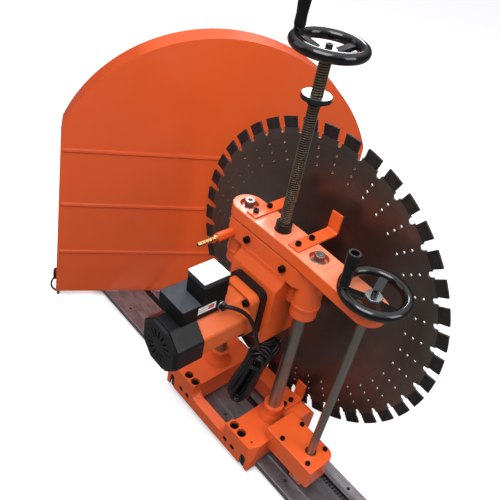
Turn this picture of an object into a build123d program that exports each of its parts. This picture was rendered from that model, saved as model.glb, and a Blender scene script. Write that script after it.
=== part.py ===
"""Rail-mounted concrete wall saw, millimetres.

X runs along the rail, Y is the blade axis (the blade is at +Y, "near" is -Y, "far" is +Y),
Z is up. Origin: on the rail's raised running surface, under the lead screw, midway between
the guide columns. The guard is parked across the rail at its -X end.
"""
from build123d import *
import os
from math import pi, sin, cos, acos, atan2, radians, degrees, sqrt

os.makedirs("parts", exist_ok=True)

# ---- rail and rack ----
RAIL_X0, RAIL_X1 = -720.0, 780.0
ANCHOR_X = (-690.0, 750.0)            # anchor hole rows
ANCHOR_Y = 66.0
ANCHOR_R = 6.5
RAIL_HOLE_PITCH = 241.5
RAIL_HOLE_R = 4.5
RACK_MODULE = 3.0
# ---- travel drive ----
TRAVEL = TRAVEL_X, TRAVEL_Y = 262.0, -12.0    # travel shaft axis
CROSS_Z = 20.0
CROSS = (TRAVEL_X, CROSS_Z)           # cross shaft axis (x, z)
PINION_TEETH = 16
PINION_PITCH_R = RACK_MODULE * PINION_TEETH / 2
CROSS_SHAFT_R = 6.0
TRAVEL_SHAFT_R = 10.0
BUSH_R = 14.0                         # travel shaft bushes and cross shaft bearings
BUSH_LENGTH = 12.0
# ---- carriage ----
CAR_X0, CAR_X1 = -182.0, 168.0
CAR_TOP = 75.0
CAR_LENGTH = CAR_X1 - CAR_X0
CAR_MID_X = (CAR_X0 + CAR_X1) / 2
NEAR_Y, FAR_Y = -118.0, 97.0
ROLLER_X = ROLLER_X0, ROLLER_X1 = -160.0, 146.0
ROLLER_Y, ROLLER_R, ROLLER_PIN_R = 98.05, 16.0, 6.0
# ---- mast ----
COL_X, COL_R = 111.3, 16.0
COLUMNS = ((-COL_X, 0), (COL_X, 0))
COL_Z0, COL_Z1 = 20.0, 597.0
PLATE_Z0, PLATE_Z1 = 580.0, 609.0
SCREW_R = 12.0
BRACKET_T = 5.0
# ---- head ----
SLEEVE_R, SLEEVE_Z0, SLEEVE_Z1 = 31.0, 450.0, 577.0
HEAD_BUSH_R = 20.0
MOTOR = (0.0, 420.0)                  # motor axis (x, z)
SPINDLE = (0.0, 412.0)                # blade axis
COUNTER = (-37.8, 416.0)              # countershaft axis
INLET = (-112, 541)                   # water inlet axis
GEAR_MODULE = 2.0
GEAR_WIDTH_MOTOR, GEAR_WIDTH_OUTPUT = 14, 20
# ---- blade ----
BLADE_R = 400.0
CORE_R = BLADE_R - 26.0
BLADE_Y0, CORE_T = 135.0, 4.0
SEGMENTS = 40
SEGMENT_STEP = 360.0 / SEGMENTS
SEGMENT_PHASE = 6.5                   # angle of one segment's middle, degrees
# ---- handwheels ----
RIM_R, RIM_TUBE = 64.5, 11.0
TOP_WHEEL_Z, TRAVEL_WHEEL_Z = 1014.0, 637.0
TOP_GRIP_ANGLE, TRAVEL_GRIP_ANGLE = 197.0, 230.0
HUB_DROP = 26.0                       # hub underside below the rim's centre
HUB_SINK = 10.0                       # hub top below the rim's centre

# ---- screw places ----
CAP_SCREWS = [(x, -102) for x in (-111.0, -83.0, 83.0, 111.0)]                # (x, y)
SIDE_SCREWS = [(x, 17) for x in (-119.0, -91.0, 75.0, 104.0)]                 # (x, z)
UPPER_BRACKET_SCREWS = [(x, y) for x in (-74.0, 61.0) for y in (-15.0, 27.0)]
LOWER_BRACKET_SCREWS = [(113.0, 48.0), (113.0, 72.0)]
HOUSING_SCREWS = ((196.0, -47.0), (282.0, -44.0), (280.0, 21.0), (196.0, 24.0))
FLANGE_BAR_SCREWS = ((-58.0, 557.0), (58.0, 557.0))                           # (x, z)
ADAPTER_SCREWS = ((-36.0, 376.0), (36.0, 376.0), (-36.0, 470.0), (36.0, 470.0))

CUT = Mode.SUBTRACT


# =====================================================================
# Planes and basic solids
# =====================================================================
def xy(z, x=0, y=0):
    """Level plane; normal up."""
    return Plane(origin=(x, y, z), x_dir=(1, 0, 0), z_dir=(0, 0, 1))


def xz(y, x=0, z=0):
    """Plane across the blade axis; local axes X and Z, normal to -Y."""
    return Plane(origin=(x, y, z), x_dir=(1, 0, 0), z_dir=(0, -1, 0))


def yz(x, y=0, z=0):
    """Plane across the rail; local axes Y and Z, normal to +X."""
    return Plane(origin=(x, y, z), x_dir=(0, 1, 0), z_dir=(1, 0, 0))


# A sketch made inside a function does not join the caller's part, so each of these
# hands its sketch to the extrusion, which does act on the part being built.
def rod(plane, radius, length, *places, hole=0, **options):
    """Round bar, or ring when hole is given, at each place on the plane."""
    with BuildSketch(plane) as outline:
        with Locations(*(places or [(0, 0)])):
            Circle(radius)
            if hole:
                Circle(hole, mode=Mode.SUBTRACT)
    extrude(outline.sketch, amount=length, **options)


def block(plane, size, length, place, corner=0, **options):
    """Rectangular bar, with rounded corners when corner is given."""
    with BuildSketch(plane) as outline:
        with Locations(place):
            if corner:
                RectangleRounded(*size, corner)
            else:
                Rectangle(*size)
    extrude(outline.sketch, amount=length, **options)


def hexagon(plane, radius, length, *places, **options):
    with BuildSketch(plane) as outline:
        with Locations(*(places or [(0, 0)])):
            RegularPolygon(radius, 6)
    extrude(outline.sketch, amount=length, **options)


def octagon(plane, flat_radius, length, **options):
    with BuildSketch(plane) as outline:
        RegularPolygon(flat_radius, 8, major_radius=False, rotation=22.5)
    extrude(outline.sketch, amount=length, **options)


def prism(plane, points, length, hole=0, **options):
    """Closed polygon extruded, with a round hole at the plane's origin if given."""
    with BuildSketch(plane) as outline:
        with BuildLine():
            Polyline(*points, close=True)
        make_face()
        if hole:
            Circle(hole, mode=Mode.SUBTRACT)
    extrude(outline.sketch, amount=length, **options)


def turned(plane, points):
    """Closed profile of (along, radius) points turned about the plane's local x axis."""
    with BuildSketch(plane) as outline:
        with BuildLine():
            Polyline(*points, close=True)
        make_face()
    revolve(outline.sketch, axis=Axis(plane.origin, plane.x_dir))


def socket_screws(seat, places, shank, head, socket, washer=(0, 0)):
    """Socket head screws; the seat's normal points to the heads.

    shank, head and washer are (radius, length); socket is (radius, floor above the head's base).
    """
    shank_r, shank_length = shank
    head_r, head_height = head
    socket_r, socket_floor = socket
    washer_r, washer_t = washer
    rod(seat.offset(-shank_length), shank_r, shank_length, *places)
    if washer_t:
        rod(seat, washer_r, washer_t, *places)
    head_base = seat.offset(washer_t)
    rod(head_base, head_r, head_height, *places)
    hexagon(head_base.offset(socket_floor), socket_r, head_height - socket_floor + 1,
            *places, mode=CUT)


def ring_point(centre, angle, radius):
    """Point at an angle in degrees round a centre."""
    return (centre[0] + radius * cos(radians(angle)), centre[1] + radius * sin(radians(angle)))


def tooth_ring(teeth, phase, root, tip):
    """Straight-flanked gear outline; root and tip are (radius, half width of a tooth)."""
    points = []
    for k in range(teeth):
        middle = radians(phase + k * 360.0 / teeth)
        for (radius, half), side in ((root, -1), (tip, -1), (tip, 1), (root, 1)):
            angle = middle + side * half / radius
            points.append((radius * cos(angle), radius * sin(angle)))
    return points


def save(builder, name):
    part = builder.part
    part.label = name
    export_step(part, f"parts/{name}.step")


# =====================================================================
# Rail
# =====================================================================
# (y, z) section; the groove between y 24 and 42 takes the rack
RAIL_SECTION = (
    (-74, -30), (74, -30), (74, -20.4), (82, -20.4), (82, -4.5), (80.5, -3), (54, -3), (53, 0),
    (42, 0), (42, -14), (24, -14), (24, 0), (-43, 0), (-45, -3), (-80.5, -3), (-82, -4.5),
    (-82, -20.4), (-74, -20.4))
with BuildPart() as rail_track:
    prism(Plane.YZ.offset(RAIL_X0), RAIL_SECTION, RAIL_X1 - RAIL_X0)
    with Locations(*[(x, y, 0) for x in ANCHOR_X for y in (-ANCHOR_Y, ANCHOR_Y)]):
        Hole(radius=ANCHOR_R)
    with Locations(*[(7 + RAIL_HOLE_PITCH * k, -55, 0) for k in range(-2, 3)]
                   + [(119.5 + RAIL_HOLE_PITCH * k, 64, 0) for k in range(-3, 3)]):
        Hole(radius=RAIL_HOLE_R)
save(rail_track, "rail_track")

# teeth stand midway between the pinion's tooth spacing from the cross shaft
RACK_PITCH = pi * RACK_MODULE
RACK_FLOOR = -14.0
RACK_PITCH_LINE = CROSS_Z - PINION_PITCH_R
RACK_ROOT = RACK_PITCH_LINE - 1.25 * RACK_MODULE
RACK_TIP = RACK_PITCH_LINE + RACK_MODULE
ROOT_HALF, TIP_HALF = 3.2, 0.85
first_tooth = int((RAIL_X0 - TRAVEL_X) / RACK_PITCH) + 1
last_tooth = int((RAIL_X1 - TRAVEL_X) / RACK_PITCH) - 1
rack_outline = [(RAIL_X0, RACK_FLOOR), (RAIL_X0, RACK_ROOT)]
for k in range(first_tooth, last_tooth):
    middle = TRAVEL_X + RACK_PITCH * (k + 0.5)
    rack_outline += [(middle - ROOT_HALF, RACK_ROOT), (middle - TIP_HALF, RACK_TIP),
                     (middle + TIP_HALF, RACK_TIP), (middle + ROOT_HALF, RACK_ROOT)]
rack_outline += [(RAIL_X1, RACK_ROOT), (RAIL_X1, RACK_FLOOR)]
with BuildPart() as rail_rack:
    prism(xz(24), rack_outline, -12)
save(rail_rack, "rail_rack")

# =====================================================================
# Guard, parked across the rail
# =====================================================================
GUARD_X, GUARD_Y = -661.9, -214.8     # start of the bottom edge
GUARD_DX, GUARD_DY = 0.50769, 0.86154     # direction of the bottom edge
GUARD_DEPTH, GUARD_T = 75.0, 2.5
GUARD_HALF = 460.0                    # half the bottom edge
GUARD_R, GUARD_CENTRE_Z = 470.0, 382.0    # top arc
GUARD_KNEE_Z = 577.0                  # where the straight sides meet the arc
GUARD_LIP = 38.0                      # rim left round the open face
# outer face: local x along the bottom edge, local y up, the shell behind it
GUARD_FACE = Plane(origin=(GUARD_X, GUARD_Y, 0.05), x_dir=(GUARD_DX, GUARD_DY, 0),
                   z_dir=(GUARD_DY, -GUARD_DX, 0))


def guard_slab(start, inset, bottom, thickness, **options):
    """The guard's outline shrunk by inset, from start behind the outer face."""
    radius = GUARD_R - inset
    knee = sqrt(radius * radius - (GUARD_KNEE_Z - GUARD_CENTRE_Z) ** 2)
    half = GUARD_HALF - inset
    foot_0, foot_1 = (GUARD_HALF - half, bottom), (GUARD_HALF + half, bottom)
    knee_0, knee_1 = (GUARD_HALF - knee, GUARD_KNEE_Z), (GUARD_HALF + knee, GUARD_KNEE_Z)
    with BuildSketch(GUARD_FACE.offset(-start)) as outline:
        with BuildLine():
            Line(foot_0, knee_0)
            ThreePointArc(knee_0, (GUARD_HALF, GUARD_CENTRE_Z + radius), knee_1)
            Line(knee_1, foot_1)
            Line(foot_1, foot_0)
        make_face()
    extrude(outline.sketch, amount=-thickness, **options)


with BuildPart() as guard_shell:
    guard_slab(0, 0, 0, GUARD_DEPTH)
    guard_slab(GUARD_T, GUARD_T, -6, GUARD_DEPTH - 2 * GUARD_T, mode=CUT)
    guard_slab(GUARD_DEPTH - GUARD_T, GUARD_LIP, -6, 2 * GUARD_T, mode=CUT)
    # tapered ribs across the outer face
    for rib_z, rib_inset in ((163, 14), (336, 24), (512, 34)):
        block(GUARD_FACE, (2 * (GUARD_HALF - rib_inset), 13), 3.5, (GUARD_HALF, rib_z), taper=42)
save(guard_shell, "guard_shell")

# rubber latch strap on the guard's near end wall, hanging to the floor
STRAP_PLANE = Plane(origin=GUARD_FACE.origin + GUARD_FACE.z_dir * -30.0,
                    x_dir=GUARD_FACE.x_dir, z_dir=GUARD_FACE.z_dir)
STRAP_CURVE = ((-1.5, 48), (-5, 33), (-14, 14), (-15, -5), (-6, -21), (4, -26))
STRAP_ANCHOR = ((1.5, 31), (3.3, 64), (-3.6, 64), (-7.4, 57), (-7.4, 35), (-4.6, 31))
with BuildPart() as guard_strap:
    with BuildLine(STRAP_PLANE) as strap_path:
        Spline(*STRAP_CURVE)
    with BuildSketch(Plane(origin=strap_path.line @ 0, z_dir=strap_path.line % 0)):
        Circle(2.8)
    sweep(path=strap_path.line)
    prism(STRAP_PLANE.offset(-9), STRAP_ANCHOR, 18)
    # crossbar at the hanging end
    rod(STRAP_PLANE.offset(-14), 3.6, 28, (5, -26))
save(guard_strap, "guard_strap")

# =====================================================================
# Carriage
# =====================================================================
WINDOW_X, WINDOW_LENGTH = 2.75, 139.5
SCOOP_X0, SCOOP_X1 = -70, 66
SCOOP_SECTION = ((-119, 27), (-92, 33), (-92, 80), (-119, 80))    # (y, z)

with BuildPart() as carriage_casting:
    block(xy(6), (CAR_LENGTH, FAR_Y - NEAR_Y), CAR_TOP - 6, (CAR_MID_X, (NEAR_Y + FAR_Y) / 2))
    # skirts that carry the rollers beside the rail
    for y0, y1, skirt_top in ((NEAR_Y, -84.0, 20.0), (84.0, 118.0, 52.0)):
        block(xy(-10), (CAR_LENGTH, y1 - y0), skirt_top + 10, (CAR_MID_X, (y0 + y1) / 2))
    # running pads over the two side strips of the rail
    for y in (-70.0, 70.0):
        for x in (-150.0, 139.0):
            block(xy(-2.95), (50, 16), 12, (x, y))
    # scooped near beam, with swept ends
    prism(Plane.YZ.offset(SCOOP_X0), SCOOP_SECTION, SCOOP_X1 - SCOOP_X0, mode=CUT)
    scoop_ends = [e for e in carriage_casting.edges()
                  if 25 < e.center().Z < 32.5 and -113 < e.center().Y < -97
                  and min(abs(e.center().X - SCOOP_X0), abs(e.center().X - SCOOP_X1)) < 0.1]
    fillet(scoop_ends, 22)
    # window for the gearbox
    block(xy(-12), (WINDOW_LENGTH, 158), 120, (WINDOW_X, -13), mode=CUT)
    # lower far beam
    block(xy(60), (WINDOW_LENGTH, 74), 40, (WINDOW_X, 82), mode=CUT)
    # column sockets with flared roots
    for column in COLUMNS:
        rod(xy(CAR_TOP - 1), 35, 24, column, taper=20)
        rod(xy(CAR_TOP - 1), 26, 48, column)
        rod(xy(COL_Z0), COL_R, 160, column, mode=CUT)
    # roller pockets with a round-topped slot to the outside
    for x in ROLLER_X:
        for side in (-1, 1):
            place = (x, side * ROLLER_Y)
            rod(xy(-12), ROLLER_R + 2, 38, place, mode=CUT)
            with BuildSketch(xz(side * 119)):
                with Locations((x, 6)):
                    Rectangle(18, 38)
                with Locations((x, 25)):
                    Circle(9)
            extrude(amount=side * 21, mode=Mode.SUBTRACT)
            rod(xy(20), ROLLER_PIN_R, 40 if side < 0 else 28, place, mode=CUT)
            if side < 0:
                rod(xy(55), 3, 30, place, mode=CUT)
    # recesses and holes for the cap screws on the near edge
    for place in CAP_SCREWS:
        rod(xy(55), 12, 30, place, mode=CUT)
        rod(xy(26), 6, 40, place, mode=CUT)
    # recesses and holes for the screws in the near side
    for place in SIDE_SCREWS:
        rod(xz(-119), 8.5, -7, place, mode=CUT)
        rod(xz(-119), 3, -14, place, mode=CUT)
    rod(xy(58), 4, 30, *LOWER_BRACKET_SCREWS, mode=CUT)
    # near +X corner, cut back towards the top
    split(bisect_by=Plane(origin=(156, -118, 75), x_dir=(12, 29, 0), z_dir=(2465, -1020, 348)),
          keep=Keep.BOTTOM)
save(carriage_casting, "carriage_casting")

with BuildPart() as carriage_cap_screws:
    socket_screws(xy(55), CAP_SCREWS, shank=(6, 29), head=(10.5, 12), socket=(5.5, 5))
save(carriage_cap_screws, "carriage_cap_screws")

with BuildPart() as roller_pins:
    for x in ROLLER_X:
        for side in (-1, 1):
            place = (x, side * ROLLER_Y)
            rod(xy(-18), ROLLER_PIN_R, 78 if side < 0 else 66, place)
            rod(xy(-18), 9, 3.9, place)
save(roller_pins, "roller_pins")


def roller(x, y):
    with BuildPart() as wheel:
        rod(xy(-14), ROLLER_R, 38, (x, y), hole=ROLLER_PIN_R + 0.06)
        rims = wheel.edges().filter_by(GeomType.CIRCLE).filter_by(lambda e: e.radius > 10)
        chamfer(rims, length=1)
    return wheel


save(roller(ROLLER_X0, -ROLLER_Y), "roller_near_left")
save(roller(ROLLER_X1, -ROLLER_Y), "roller_near_right")
save(roller(ROLLER_X0, ROLLER_Y), "roller_far_left")
save(roller(ROLLER_X1, ROLLER_Y), "roller_far_right")

# =====================================================================
# Mast
# =====================================================================
with BuildPart() as guide_columns:
    for column in COLUMNS:
        rod(xy(COL_Z0), COL_R, COL_Z1 - COL_Z0, column)
        rod(xy(COL_Z1 - 36), 7, 40, column, mode=CUT)
save(guide_columns, "guide_columns")


def tangent_point(point, centre, radius, side):
    """Where a line from the point touches the circle; side picks one of the two."""
    dx, dy = point[0] - centre[0], point[1] - centre[1]
    angle = atan2(dy, dx) + side * acos(radius / sqrt(dx * dx + dy * dy))
    return (centre[0] + radius * cos(angle), centre[1] + radius * sin(angle))


PLATE_HALF = 38.5                     # half width, and radius of the end at -X
ARM_END_R = 38.0                      # radius round the travel shaft
NEAR_KNEE, FAR_KNEE = (60.0, -PLATE_HALF), (30.0, PLATE_HALF)
NEAR_TANGENT = tangent_point(NEAR_KNEE, TRAVEL, ARM_END_R, 1)
FAR_TANGENT = tangent_point(FAR_KNEE, TRAVEL, ARM_END_R, -1)
NEAR_END, FAR_END = (-COL_X, -PLATE_HALF), (-COL_X, PLATE_HALF)
with BuildPart() as top_plate:
    with BuildSketch(xy(PLATE_Z0)):
        with BuildLine():
            Polyline(NEAR_END, NEAR_KNEE, NEAR_TANGENT)
            ThreePointArc(NEAR_TANGENT, (TRAVEL_X + ARM_END_R, TRAVEL_Y), FAR_TANGENT)
            Polyline(FAR_TANGENT, FAR_KNEE, FAR_END)
            ThreePointArc(FAR_END, (-COL_X - PLATE_HALF, 0), NEAR_END)
        make_face()
    extrude(amount=PLATE_Z1 - PLATE_Z0)
    for column in COLUMNS:
        rod(xy(COL_Z1), 22, 20, column, mode=CUT)
        rod(xy(PLATE_Z0 - 1), COL_R, 20, column, mode=CUT)
    # lead nut seat, then the travel shaft's hole and bush seat
    rod(xy(PLATE_Z0 - 1), 19, 40, mode=CUT)
    rod(xy(PLATE_Z0 - 1), 11.5, 40, TRAVEL, mode=CUT)
    rod(xy(597), BUSH_R, 40, TRAVEL, mode=CUT)
    rod(xy(595), 4, 40, *UPPER_BRACKET_SCREWS, mode=CUT)
    chamfer(top_plate.faces().sort_by(Axis.Z)[-1].outer_wire().edges(), length=1.5)
    # scribed line across the arm
    block(xy(PLATE_Z1 - 0.8), (1.2, 45), 5, (145, -2.5), mode=CUT)
save(top_plate, "top_plate")

with BuildPart() as column_cap_bolts:
    socket_screws(xy(COL_Z1), COLUMNS, shank=(7, 34), head=(11, 19), socket=(6.5, 11),
                  washer=(15.5, 3))
save(column_cap_bolts, "column_cap_bolts")


def angle_section(start, end, bottom, top):
    """(y, z) section of an L: a foot from start to end, then a leg up to top at end."""
    inner = end - BRACKET_T
    return ((start, bottom), (end - 6, bottom), (end, bottom + 6), (end, top), (inner, top),
            (inner, bottom + 8), (end - 8, bottom + BRACKET_T), (start, bottom + BRACKET_T))


with BuildPart() as guard_brackets:
    for x in (-72.5, 62.5):
        prism(Plane.YZ.offset(x - 15), angle_section(-30, 97, PLATE_Z1, 660), 30)
    rod(xy(600), 4, 40, *UPPER_BRACKET_SCREWS, mode=CUT)
    prism(Plane.YZ.offset(98), angle_section(38, 104, CAR_TOP, 132), 30)
    rod(xy(70), 4, 20, *LOWER_BRACKET_SCREWS, mode=CUT)
save(guard_brackets, "guard_brackets")

with BuildPart() as lead_nut:
    rod(xy(PLATE_Z0), 19, PLATE_Z1 - PLATE_Z0)
    rod(xy(PLATE_Z1), 18, 21)
    rod(xy(PLATE_Z0 - 1), SCREW_R + 0.1, 60, mode=CUT)
    chamfer(lead_nut.faces().sort_by(Axis.Z)[-1].outer_wire().edges(), length=1.5)
save(lead_nut, "lead_nut")

# =====================================================================
# Travel drive
# =====================================================================
HOUSING_X1 = 306
HOUSING_WIDTH = 90
with BuildPart() as gear_housing:
    block(xy(75), (156, HOUSING_WIDTH), 32, (228, TRAVEL_Y))
    block(xy(45), (HOUSING_X1 - CAR_X1, HOUSING_WIDTH), 31,
          ((CAR_X1 + HOUSING_X1) / 2, TRAVEL_Y))
    fillet(gear_housing.edges().filter_by(Axis.Z).filter_by(
        lambda e: e.center().X > HOUSING_X1 - 1 and e.center().Y > TRAVEL_Y), radius=25)
    fillet(gear_housing.edges().filter_by(Axis.Z).filter_by(
        lambda e: e.center().X > HOUSING_X1 - 1 and e.center().Y < TRAVEL_Y), radius=5)
    block(xy(44), (90, 70), 51, (249, TRAVEL_Y), mode=CUT)
    # legs that carry the cross shaft
    block(xy(3), (38, 9), 95, (TRAVEL_X, -35))
    block(xy(3), (44, 9), 70, (TRAVEL_X, 43.5))
    block(xy(53), (44, 24), 20, (TRAVEL_X, 36))
    # clearance over the pinion, shaft bores and bearing seats
    rod(xz(21), 29.5, -18, CROSS, mode=CUT)
    rod(xz(-45), BUSH_R, -100, CROSS, mode=CUT)
    rod(xy(95), BUSH_R, 20, TRAVEL, mode=CUT)
    rod(xy(93), 11.5, 20, TRAVEL, mode=CUT)
    rod(xy(97), 3.5, 20, *HOUSING_SCREWS, mode=CUT)
    chamfer(gear_housing.faces().sort_by(Axis.Z)[-1].outer_wire().edges(), length=2)
save(gear_housing, "gear_housing")

with BuildPart() as small_screws:
    socket_screws(xy(PLATE_Z1 + BRACKET_T), UPPER_BRACKET_SCREWS,
                  shank=(4, 19), head=(6.5, 7), socket=(3.4, 3))
    socket_screws(xy(CAR_TOP + BRACKET_T), LOWER_BRACKET_SCREWS,
                  shank=(4, 22), head=(6.5, 7), socket=(3.4, 3))
    socket_screws(xy(107), HOUSING_SCREWS, shank=(3.5, 10), head=(6, 5), socket=(3, 2))
    socket_screws(xz(-112), SIDE_SCREWS, shank=(3, 7), head=(7.5, 5), socket=(4, 2))
save(small_screws, "small_screws")

with BuildPart() as travel_bushes:
    for z in (95.0, 597.0):
        rod(xy(z), BUSH_R, BUSH_LENGTH, TRAVEL, hole=TRAVEL_SHAFT_R + 0.06)
save(travel_bushes, "travel_bushes")

with BuildPart() as cross_shaft_bearings:
    for y in (-39.0, 39.5):
        rod(xz(y), BUSH_R, -8, CROSS, hole=CROSS_SHAFT_R + 0.06)
save(cross_shaft_bearings, "cross_shaft_bearings")

with BuildPart() as cross_shaft:
    rod(xz(-41), CROSS_SHAFT_R, -91, CROSS)
save(cross_shaft, "cross_shaft")


def bevel_gear(plane, hub_end):
    """Toothless bevel gear on the plane's x axis; the plane starts where the shafts cross."""
    with BuildPart() as bevel:
        turned(plane, ((8, 6), (8, 7.4), (16, 15.4), (18.5, 13.5), (18.5, 10),
                       (hub_end, 10), (hub_end, 6)))
    return bevel


save(bevel_gear(yz(TRAVEL_X, TRAVEL_Y, CROSS_Z), 27), "cross_bevel")


def upright(x, y, z):
    """Plane with local x up and local y along X, for turning about a vertical axis."""
    return Plane(origin=(x, y, z), x_dir=(0, 0, 1), z_dir=(0, 1, 0))


save(bevel_gear(upright(TRAVEL_X, TRAVEL_Y, CROSS_Z), 26.5), "travel_bevel")

pinion_outline = tooth_ring(PINION_TEETH, -90,
                            root=(PINION_PITCH_R - 1.25 * RACK_MODULE, 2.55),
                            tip=(PINION_PITCH_R + RACK_MODULE, TIP_HALF))
with BuildPart() as rack_pinion:
    prism(xz(24.5, *CROSS), pinion_outline, -11, hole=CROSS_SHAFT_R)
save(rack_pinion, "rack_pinion")


# =====================================================================
# Handwheels and their shafts
# =====================================================================
def wheel_seat(x, y, z):
    """Top end of a shaft: a spigot for the hub, with a screw hole."""
    rod(xy(z - HUB_DROP - 1, x, y), 7, 17)
    rod(xy(z - HUB_DROP, x, y), 4, 20, mode=CUT)


# (from the wheel's axis, from the rim's centre height), rising from the sunk hub to the rim
SPOKE_SECTION = ((10, -21), (56, -7), (60, -5), (60, 2), (55, 1), (10, -12.5))


def handwheel(x, y, z, grip_angle):
    """Handwheel whose rim is centred on (x, y, z)."""
    with BuildPart() as wheel:
        with BuildSketch(xz(y, x, z)):
            with Locations((RIM_R, 0)):
                Circle(RIM_TUBE)
        revolve(axis=Axis((x, y, z), (0, 0, 1)), revolution_arc=360)
        rod(xy(z - HUB_DROP, x, y), 18, HUB_DROP - HUB_SINK)
        # three flat spokes
        for angle in (grip_angle - 120, grip_angle, grip_angle + 120):
            ux, uy = cos(radians(angle)), sin(radians(angle))
            spoke_plane = Plane(origin=(x, y, z), x_dir=(ux, uy, 0), z_dir=(uy, -ux, 0))
            prism(spoke_plane, SPOKE_SECTION, 9, both=True)
        # boss and pin for the grip
        grip_place = ring_point((x, y), grip_angle, RIM_R)
        rod(xy(z - 2), 9.5, 13.5, grip_place)
        rod(xy(z), 4.5, 70, grip_place)
        rod(xy(z - 30, x, y), 7, 60, mode=CUT)
        rod(xy(z - HUB_SINK, x, y), 17.5, 30, mode=CUT)
    return wheel


def hub_screw(x, y, z):
    with BuildPart() as screw:
        socket_screws(xy(z - HUB_SINK, x, y), [(0, 0)], shank=(4, 14), head=(6.5, 9),
                      socket=(3.8, 4), washer=(17, 3))
    return screw


# (height, radius); the grip is counterbored from the top
GRIP_PROFILE = ((0, 4.6), (0, 9.5), (5, 11), (22, 10.3), (66, 13.3), (72, 13.5), (76, 12),
                (76, 8.5), (60, 8.5), (60, 4.6))


def grip(x, y, z, grip_angle):
    with BuildPart() as handle:
        turned(upright(*ring_point((x, y), grip_angle, RIM_R), z + 11.7), GRIP_PROFILE)
    return handle


for wheel_name, wheel_centre, grip_angle in (
        ("travel", (TRAVEL_X, TRAVEL_Y, TRAVEL_WHEEL_Z), TRAVEL_GRIP_ANGLE),
        ("top", (0, 0, TOP_WHEEL_Z), TOP_GRIP_ANGLE)):
    save(handwheel(*wheel_centre, grip_angle), f"{wheel_name}_handwheel")
    save(hub_screw(*wheel_centre), f"{wheel_name}_hub_screw")
    save(grip(*wheel_centre, grip_angle), f"{wheel_name}_grip")

with BuildPart() as travel_shaft:
    rod(xy(46.5), TRAVEL_SHAFT_R, TRAVEL_WHEEL_Z - HUB_DROP - 46.5, TRAVEL)
    rod(xy(27.6), 6, 20, TRAVEL)
    wheel_seat(TRAVEL_X, TRAVEL_Y, TRAVEL_WHEEL_Z)
save(travel_shaft, "travel_shaft")

LEAD_Z0 = 577.06
with BuildPart() as lead_screw:
    rod(xy(LEAD_Z0), SCREW_R, TOP_WHEEL_Z - HUB_DROP - LEAD_Z0)
    rod(xy(533), 8, 50)
    wheel_seat(0, 0, TOP_WHEEL_Z)
save(lead_screw, "lead_screw")

with BuildPart() as screw_retainer:
    rod(xy(533), 14, 11.9, hole=8)
save(screw_retainer, "screw_retainer")

with BuildPart() as depth_stop_disc:
    rod(xy(912), 30.5, 10)
    chamfer(depth_stop_disc.edges().filter_by(GeomType.CIRCLE), length=1)
    rod(xy(904), 16.5, 9)
    rod(xy(900), SCREW_R + 0.08, 40, mode=CUT)
save(depth_stop_disc, "depth_stop_disc")

# =====================================================================
# Slide head: sleeves, flange bar and gearbox in one casting
# =====================================================================
FLANGE_BAR_Z0 = 531
FLANGE_BAR = ((-124, -40), (94, -40), (147, -6), (147, 12), (96, 38), (-124, 38),
              (-147, 12), (-147, -14))                            # (x, y)
GEARBOX_SECTION = ((-62, 340), (82, 340), (82, 535), (-42, 535), (-42, 524), (-62, 505))  # (y, z)
CHAMBER = (134, 158)
with BuildPart() as head_casting:
    prism(xy(FLANGE_BAR_Z0), FLANGE_BAR, SLEEVE_Z1 - FLANGE_BAR_Z0)
    for column in COLUMNS:
        rod(xy(SLEEVE_Z0), SLEEVE_R, SLEEVE_Z1 - SLEEVE_Z0, column)
        rod(xy(479), SLEEVE_R + 2.5, 7, column)
    prism(Plane.YZ.offset(-72), GEARBOX_SECTION, 144)
    fillet(head_casting.edges().filter_by(Axis.Y).filter_by(lambda e: e.center().Z < 345),
           radius=16)
    # blocks between the gearbox and the sleeves
    for x in (-76, 76):
        block(xy(468), (24, 40), 66, (x, 0))
    # gear chamber, its near opening, and the far chamber beyond the inner web
    block(xz(-54), CHAMBER, -74, (0, 431), corner=12, mode=CUT)
    block(xz(-70), (100, 130), -20, (0, 423), corner=12, mode=CUT)
    block(xz(32), CHAMBER, -38, (0, 431), corner=12, mode=CUT)
    # spindle hole and countershaft bearing seat in the web
    rod(xz(19), 14, -14, SPINDLE, mode=CUT)
    rod(xz(19), 13, -11, COUNTER, mode=CUT)
    # spindle nose
    rod(xz(80), 46, -32, SPINDLE)
    rod(xz(69), 36, -44, SPINDLE, mode=CUT)
    # water inlet boss
    rod(xz(-34), 11, 50, INLET)
    rod(xz(-60), 5, 30, INLET, mode=CUT)
    # column bores and bush seats
    for column in COLUMNS:
        rod(xy(440), COL_R + 1, 150, column, mode=CUT)
        for z in (449.0, 547.0):
            rod(xy(z), HEAD_BUSH_R, 31, column, mode=CUT)
    # lead screw end
    rod(xy(520), 16, 25, mode=CUT)
    rod(xy(544), 8.06, 40, mode=CUT)
    rod(xz(-41), 5, -20, *FLANGE_BAR_SCREWS, mode=CUT)
save(head_casting, "head_casting")

with BuildPart() as head_bushes:
    for column in COLUMNS:
        for z in (450.0, 547.0):
            rod(xy(z), HEAD_BUSH_R, 30, column, hole=COL_R + 0.05)
save(head_bushes, "head_bushes")

with BuildPart() as head_screws:
    for seat_y, places, shank_length in ((-40.0, FLANGE_BAR_SCREWS, 18.0),
                                         (-105.0, ADAPTER_SCREWS, 12.0)):
        socket_screws(xz(seat_y), places, shank=(5, shank_length), head=(8, 9), socket=(4.4, 4))
save(head_screws, "head_screws")

with BuildPart() as gearbox_cover_plate:
    block(xz(-62), (108, 138), 16, (0, 423), corner=20)
    rod(xz(-60), 13, 20, MOTOR, mode=CUT)
    rod(xz(-61), 13, 11, COUNTER, mode=CUT)
save(gearbox_cover_plate, "gearbox_cover_plate")

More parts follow.
